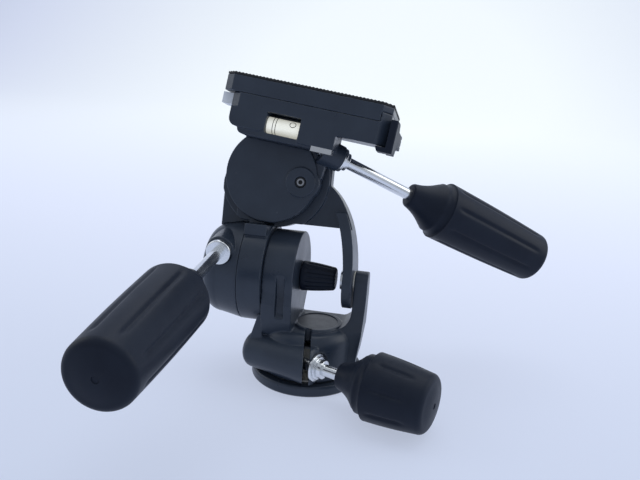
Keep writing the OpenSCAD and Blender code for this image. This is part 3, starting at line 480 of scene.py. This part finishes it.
base = cast_skin("base_disc_skin", "base_disc", 0.35 * mm, 3)
hand_over(base, "base", "casting", casting_paint, "base_disc")
turret = cast_skin("turret_and_yoke", "pan_casting", 0.35 * mm, 2)
hand_over(turret, "pan_body", "casting", casting_paint, "pan_casting")
middle = cast_skin("middle_casting", "tilt_casting", 0.35 * mm, 2)
hand_over(middle, "tilt_body", "casting", casting_paint, "tilt_casting")
housing = cast_skin("clamp_housing_skin", "clamp_housing", 0.35 * mm, 2)
hand_over(housing, "tilt_body", "casting", casting_paint, "clamp_housing")
top_frame = cast_skin("platform_skin", "platform_casting", 0.35 * mm, 3)
hand_over(top_frame, "platform", "casting", casting_paint, "platform_casting")
cover = cast_skin("disc_cover", "side_cover", 0.25 * mm, 3)
hand_over(cover, "platform", "casting", casting_paint, "side_cover")
plate = cast_skin("camera_plate", "quick_plate", 0.35 * mm, 3)
hand_over(plate, "quick_plate", "casting", casting_paint, "quick_plate")

# ---------------------------------------------------------------- handles
# Three clamp handles: a chromed steel stem screwed into its casting, and a grip of hard black
# rubber moulded on, with a flared neck, a ridge, shallow flutes and a slightly domed end.

grip_rubber = grained(new_material("grip_rubber", Specular_IOR_Level=0.15), 0.35,
                      (0.0080, 0.0120, 0.0230), (0.0120, 0.0175, 0.0310), 0.38, 0.50, 0.30,
                      (0.04, 0.042, 0.046), 0.3, 0.02)
chrome = new_material("chrome", Base_Color=(0.86, 0.88, 0.90, 1), Metallic=1.0)


def brushed(material, smooth, rough, relief, size=0.25):
    """Fine turning marks and smears on bare or plated metal."""
    tree = material.node_tree
    shader = tree.nodes["Principled BSDF"]
    colour = shader.inputs["Base Color"].default_value
    surface = tree.nodes.new("ShaderNodeGroup")
    surface.node_tree = grain
    surface.inputs["Grain Size"].default_value = size
    surface.inputs["Dark"].default_value = (colour[0] * 0.86, colour[1] * 0.86, colour[2] * 0.86, 1)
    surface.inputs["Light"].default_value = tuple(colour)
    surface.inputs["Smooth"].default_value = smooth
    surface.inputs["Rough"].default_value = rough
    bump = tree.nodes.new("ShaderNodeBump")
    bump.inputs["Strength"].default_value = relief
    bump.inputs["Distance"].default_value = 0.02 * mm
    wire(material, surface.outputs["Color"], shader.inputs["Base Color"])
    wire(material, surface.outputs["Roughness"], shader.inputs["Roughness"])
    wire(material, surface.outputs["Height"], bump.inputs["Height"])
    wire(material, bump.outputs["Normal"], shader.inputs["Normal"])
    return material


brushed(chrome, 0.16, 0.28, 0.1)


def grip(name, place, start, length, neck, shoulder_r, end_r, neck_r, flutes=8):
    """A moulded grip along X, from the stem to its domed end."""
    ridge = neck * 0.86
    outline = [(0, neck_r - 1.0 * mm), (0.25 * mm, neck_r - 0.2 * mm), (1.0 * mm, neck_r + 0.25 * mm)]
    flare = [(neck_r + 0.3 * mm, 1.2 * mm), (neck_r + 1.2 * mm, neck * 0.3),
             (neck_r + 3.0 * mm, neck * 0.52), (shoulder_r - 3.4 * mm, neck * 0.76)]
    for k in range(1, 13):
        t = k / 12
        u = 1 - t
        weights = (u ** 3, 3 * u * u * t, 3 * u * t * t, t ** 3)
        outline.append((sum(w * p[1] for w, p in zip(weights, flare)),
                        sum(w * p[0] for w, p in zip(weights, flare))))
    outline += [(ridge - 0.6 * mm, shoulder_r - 2.75 * mm), (ridge, shoulder_r - 2.2 * mm),
                (ridge + 0.7 * mm, shoulder_r - 2.15 * mm), (ridge + 1.3 * mm, shoulder_r - 2.1 * mm)]
    crown = ridge + 4.6 * mm
    for k in range(1, 7):
        a = math.radians(90 * k / 6)
        outline.append((ridge + 1.3 * mm + (crown - ridge - 1.3 * mm) * math.sin(a) ** 1.2,
                        shoulder_r - 2.1 * mm * math.cos(a)))
    end_round, end_crown, swell = 3.4 * mm, 1.2 * mm, 0.35 * mm
    turn_in = length - end_crown - 3.2 * mm
    for k in range(1, 40):
        t = k / 39
        outline.append((crown + (turn_in - crown) * t,
                        shoulder_r + (end_r - shoulder_r) * t + swell * math.sin(math.pi * t)))
    for k in range(1, 9):
        a = math.radians(90 * k / 8)
        outline.append((turn_in + (length - end_crown - turn_in) * math.sin(a),
                        end_r - end_round + end_round * math.cos(a)))
    gate_r, gate_depth = 1.5 * mm, 0.35 * mm
    for k in range(1, 6):
        t = k / 5
        outline.append((length - end_crown + end_crown * math.sin(t * math.pi / 2),
                        (end_r - end_round) * (1 - t) + gate_r * t))
    outline += [(length - gate_depth, gate_r - 0.2 * mm), (length - gate_depth, 0.0)]
    flute_depth, flute_width, flute_fade = 0.75 * mm, 1.15 * mm, 5 * mm
    steps = 48
    segments = steps * flutes
    shape = bmesh.new()
    rings = []
    first, last = crown + 2.0 * mm, turn_in - 3.0 * mm
    for x, radius in outline:
        along = max(0.0, min(1.0, (x - first) / flute_fade, (last - x) / flute_fade))
        along = along * along * (3 - 2 * along)
        ring = []
        for k in range(segments):
            a = 2 * math.pi * k / segments
            off = (2 * (k % steps) / steps - 1) * math.pi / flutes * radius
            groove = math.exp(-(off / flute_width) ** 2) if radius > 8 * mm else 0.0
            r = radius - flute_depth * along * groove
            ring.append(shape.verts.new((start + x, r * math.cos(a), r * math.sin(a))))
        rings.append(ring)
    for one, two in zip(rings, rings[1:]):
        for k in range(segments):
            n = (k + 1) % segments
            shape.faces.new((one[k], one[n], two[n], two[k]))
    shape.faces.new(rings[0])
    shape.faces.new(list(reversed(rings[-1])))
    bmesh.ops.remove_doubles(shape, verts=shape.verts, dist=0.002 * mm)
    return finish_mesh(name, shape, place, 60)


def grip_sizes(node, place):
    low, high = extent(node, place)
    return low.x, high.x - low.x


neck_r = 6.3 * mm
long_neck, short_neck = 18.4 * mm, 16.5 * mm
for label, node, body, place, neck, shoulder_r, end_r in (
        ("pan", "pan_grip", "pan_handle", pan_clamp, short_neck, 16.9 * mm, 14.5 * mm),
        ("tilt", "tilt_grip", "tilt_handle", tilt_clamp, long_neck, 15.8 * mm, 13.7 * mm),
        ("side", "side_grip", "side_handle", side_clamp, long_neck, 15.8 * mm, 13.7 * mm)):
    begin, length = grip_sizes(node, place)
    piece = grip(label + "_handle_grip", place, begin, length, neck, shoulder_r, end_r, neck_r)
    hand_over(piece, body, "grip", grip_rubber, node)

stem_r = 3.1 * mm
thread_end = 2.0 * mm
point, softening = 0.5 * mm, 0.2 * mm
for label, node, body, place in (
        ("pan", "pan_stem", "pan_handle", pan_clamp),
        ("tilt", "tilt_stem", "tilt_handle", tilt_clamp),
        ("side", "side_stem", "side_handle", side_clamp)):
    low, high = extent(node, place)
    outline = rounded([(low.x, 0, 0), (low.x, stem_r - point, 0), (low.x + point, stem_r, softening),
                       (thread_end, stem_r, 0), (high.x, stem_r, softening), (high.x, 0, 0)])
    stem = turned(label + "_handle_stem", outline, place, 64)
    hand_over(stem, body, "chrome", chrome, node)


def washer(name, place, x0, x1, outer, inner, soften=0.35 * mm):
    """A plain turned washer or collar with softened edges."""
    corners = [(x0, inner, 0), (x0, outer, soften), (x1, outer, soften), (x1, inner, 0), (x0, inner, 0)]
    return turned(name, rounded(corners), place, 72)


low, high = extent("pan_washers", pan_clamp)
step, next_step = 1.5 * mm, 2.7 * mm
for k, (x0, x1, outer) in enumerate(((low.x, low.x + step, 7.2 * mm),
                                     (low.x + step, low.x + next_step, 6.0 * mm),
                                     (low.x + next_step, high.x, 4.8 * mm))):
    piece = washer(f"pan_washer_{k + 1}", pan_clamp, x0, x1, outer, stem_r)
    hand_over(piece, "pan_handle", "chrome", chrome, *(["pan_washers"] if k == 0 else []))
low, high = extent("tilt_collar", tilt_clamp)
collar_r, collar_softening = 6.4 * mm, 0.8 * mm
piece = washer("tilt_collar_ring", tilt_clamp, low.x, high.x, collar_r, stem_r, collar_softening)
hand_over(piece, "tilt_handle", "chrome", chrome, "tilt_collar")
low, high = extent("side_washers", side_clamp)
for k, (x0, x1, outer) in enumerate(((low.x, low.x + step, 6.2 * mm),
                                     (low.x + step, high.x, 4.7 * mm))):
    piece = washer(f"side_washer_{k + 1}", side_clamp, x0, x1, outer, stem_r)
    hand_over(piece, "side_handle", "chrome", chrome, *(["side_washers"] if k == 0 else []))

# ---------------------------------------------------------------- friction knob
# A ribbed knob of moulded nylon screwed onto the end of the front tilt axle.

low, high = extent("friction_knob", tilt_axis)
knob_r0, knob_r1 = 7.9 * mm, 6.2 * mm
shape = bmesh.new()
ribs = 16
segments = ribs * 12
knob_chamfer, knob_round, knob_root = 0.5 * mm, 1.5 * mm, 2.6 * mm
valley_depth, valley_fade = 0.65 * mm, 1.0 * mm
knob_outline = [(0, 0.0), (0, knob_r0 - knob_chamfer), (0.3 * knob_chamfer, knob_r0 - 0.3 * knob_chamfer),
                (knob_chamfer, knob_r0)]
knob_length = high.x - low.x
for k in range(1, 25):
    t = k / 24
    knob_outline.append((knob_chamfer + (knob_length - knob_chamfer - knob_round) * t,
                         knob_r0 + (knob_r1 - knob_r0) * t ** 1.6))
for k in range(1, 7):
    a = math.radians(90 * k / 6)
    knob_outline.append((knob_length - knob_round + knob_round * math.sin(a),
                         knob_r1 - knob_round + knob_round * math.cos(a)))
knob_outline.append((knob_length, 0.0))
rings = []
for x, radius in knob_outline:
    along = max(0.0, min(1.0, (x - knob_root) / valley_fade))
    if radius < 3 * mm:
        rings.append([shape.verts.new((low.x + x, 0, 0))])
        continue
    ring = []
    for k in range(segments):
        a = 2 * math.pi * k / segments
        valley = 0.5 + 0.5 * math.cos(ribs * a)
        r = radius - valley_depth * along * valley ** 2
        ring.append(shape.verts.new((low.x + x, r * math.cos(a), r * math.sin(a))))
    rings.append(ring)
for one, two in zip(rings, rings[1:]):
    for k in range(segments):
        n = (k + 1) % segments
        if len(one) == 1:
            shape.faces.new((one[0], two[n], two[k]))
        elif len(two) == 1:
            shape.faces.new((one[k], one[n], two[0]))
        else:
            shape.faces.new((one[k], one[n], two[n], two[k]))
knob = finish_mesh("drag_knob", shape, tilt_axis, 50)
hand_over(knob, "friction_knob", "grip", grip_rubber, "friction_knob")

# ---------------------------------------------------------------- plate lever and safety catch
# The lever that locks the camera plate is black nylon on a steel pin. The catch beside it at the
# other end is light grey nylon.

lever = cast_skin("locking_lever", "plate_lever", 0.25 * mm, 3)
hand_over(lever, "plate_lever", "lever_plastic", grip_rubber, "plate_lever")
grey_nylon = grained(new_material("grey_nylon", Specular_IOR_Level=0.5), 0.3, (0.72, 0.76, 0.80),
                     (0.80, 0.84, 0.88), 0.35, 0.5, 0.2, (0.85, 0.87, 0.90), 0.3, 0.03)
refinish(grey_nylon, "safety_catch")

# ---------------------------------------------------------------- small metal and nylon parts
# Screws, nuts, axles, bushes and rubbers: most of them hide inside the castings and show only in a
# slot or from below. The camera plate's pad is ribbed rubber, and the lobe's screw has a bright rim
# round a black face that is painted shade for its socket.

zinc_steel = brushed(new_material("zinc_steel", Base_Color=(0.60, 0.61, 0.63, 1), Metallic=1.0),
                     0.22, 0.38, 0.2)
brass = brushed(new_material("brass", Base_Color=(0.70, 0.50, 0.22, 1), Metallic=1.0), 0.2, 0.36, 0.2)
nylon = grained(new_material("nylon", Specular_IOR_Level=0.5), 0.4, (0.70, 0.68, 0.60),
                (0.78, 0.76, 0.69), 0.4, 0.55, 0.2, (0.8, 0.79, 0.75), 0.2, 0.05)
black_rubber = grained(new_material("black_rubber", Specular_IOR_Level=0.3), 0.3,
                       (0.014, 0.015, 0.017), (0.022, 0.023, 0.026), 0.6, 0.8, 0.4,
                       (0.05, 0.05, 0.05), 0.2, 0.08)
panel_plastic = grained(new_material("panel_plastic", Specular_IOR_Level=0.5), 0.6,
                        (0.030, 0.034, 0.042), (0.040, 0.045, 0.054), 0.30, 0.42, 0.15,
                        (0.2, 0.2, 0.2), 0.2, 0.05)
black_steel = brushed(new_material("black_steel", Base_Color=(0.30, 0.31, 0.33, 1), Metallic=1.0),
                      0.3, 0.45, 0.2)
refinish(zinc_steel, "pan_spindle", "spindle_screws", "retaining_washer", "retaining_screw",
         "tilt_axle", "axle_nut", "pivot_screw", "drum_bolts", "side_axle", "side_axle_nut",
         "side_clamp_plate", "lever_pin", "catch_spring", "screw_washer", "camera_screw")
refinish(brass, "pan_clamp_nut")
refinish(nylon, "thrust_washer", "pan_bush", "pivot_washer", "drum_bush", "arm_bush",
         "side_friction_washer")
refinish(black_rubber, "base_grip_ring")
low, high = extent("plate_pad", platform)
pad = cast_skin("ribbed_pad", "plate_pad", 0.3 * mm, 0, 1.0)
back = platform.inverted()
rib_pitch, rib_depth, rib_zone = 1.8 * mm, 0.3 * mm, 0.4 * mm
for vertex in pad.data.vertices:
    spot = back @ vertex.co
    if spot.z > high.z - rib_zone:
        spot.z -= rib_depth * (0.5 - 0.5 * math.cos(2 * math.pi * (spot.x - low.x) / rib_pitch))
        vertex.co = platform @ spot
hand_over(pad, "quick_plate", "rubber", black_rubber, "plate_pad")
refinish(panel_plastic, "label_panel")
# The cover screw is coloured black so that inside its rim it reads as a dark socket: painted shade.
refinish(black_rubber, "cover_screw")
low, high = extent("cover_screw", platform)
screw_centre = Matrix.Translation(((low.x + high.x) / 2, low.y, (low.z + high.z) / 2))
screw_face = platform @ screw_centre @ Matrix.Rotation(math.radians(-90), 4, "Z")
rim_root, rim_rise, rim_r, socket_r = 0.2 * mm, 0.12 * mm, 1.9 * mm, 1.1 * mm
rim = washer("cover_screw_rim", screw_face, -rim_root, rim_rise, rim_r, socket_r, 0.1 * mm)
hand_over(rim, "platform", "dark_steel", black_steel)

# ---------------------------------------------------------------- spirit level
# A sealed tube of pale liquid with a bubble, on a white seat in the platform's window. Against its
# seat it looks one glossy cream, and it glows a little by itself: painted light that keeps it pale in
# the window's shade. Two printed lines and the bubble's dark edge lie on it.

cream = grained(new_material("cream_seat", Specular_IOR_Level=0.5), 0.4, (0.80, 0.78, 0.70),
                (0.88, 0.86, 0.79), 0.35, 0.5, 0.1, (0.9, 0.9, 0.85), 0.2, 0.03)
self_lit_vial = grained(new_material("self_lit_vial", Specular_IOR_Level=0.6, Coat_Weight=0.6,
                                   Coat_Roughness=0.04, Emission_Strength=0.5),
                      0.8, (0.80, 0.79, 0.68), (0.90, 0.89, 0.80), 0.08, 0.14, 0.02,
                      (0.95, 0.95, 0.9), 0.0, 0.02)
# The vial's colour is also wired into its emission, so the vial glows: painted light.
for node in self_lit_vial.node_tree.nodes:
    if node.type == "GROUP" and node.node_tree == wear:
        vial_shader = self_lit_vial.node_tree.nodes["Principled BSDF"]
        wire(self_lit_vial, node.outputs["Color"], vial_shader.inputs["Emission Color"])
print_black = grained(new_material("print_black", Specular_IOR_Level=0.4), 0.3, (0.012, 0.012, 0.013),
                      (0.022, 0.022, 0.024), 0.4, 0.5, 0.05, (0.05, 0.05, 0.05), 0.0, 0.02)
refinish(cream, "level_backing")
refinish(self_lit_vial, "level_tube", "level_liquid")
low, high = extent("level_tube", platform)
vial = platform @ Matrix.Translation((0, (low.y + high.y) / 2, (low.z + high.z) / 2))
vial_r = (high.z - low.z) / 2
vial_x = (low.x + high.x) / 2
line_width, line_lift, line_root = 0.3 * mm, 0.08 * mm, 0.3 * mm
for k, x in enumerate((-5.4 * mm, -3.9 * mm)):
    line = washer(f"level_line_{k + 1}", vial, vial_x + x, vial_x + x + line_width,
                  vial_r + line_lift, vial_r - line_root, 0)
    hand_over(line, "platform", "vial_black", print_black, *(["level_rings"] if k == 0 else []))
bubble_x, bubble_inner, bubble_outer, bubble_root = 4.6 * mm, 1.35 * mm, 1.65 * mm, 0.2 * mm
bubble_turn = math.radians(32)
bubble_steps = 40
shape = bmesh.new()
loops = []
for k in range(bubble_steps):
    a = 2 * math.pi * k / bubble_steps
    loop = []
    for out, lift in ((bubble_inner, line_lift), (bubble_outer, line_lift),
                      (bubble_outer, -bubble_root), (bubble_inner, -bubble_root)):
        turn = bubble_turn + out * math.sin(a) / vial_r
        rise = vial_r + lift
        loop.append(shape.verts.new((vial_x + bubble_x + out * math.cos(a),
                                     -rise * math.cos(turn), rise * math.sin(turn))))
    loops.append(loop)
for k in range(bubble_steps):
    one, two = loops[k], loops[(k + 1) % bubble_steps]
    for i in range(4):
        shape.faces.new((one[i], one[(i + 1) % 4], two[(i + 1) % 4], two[i]))
bubble = finish_mesh("level_bubble_edge", shape, vial, 50)
hand_over(bubble, "platform", "vial_black", print_black)
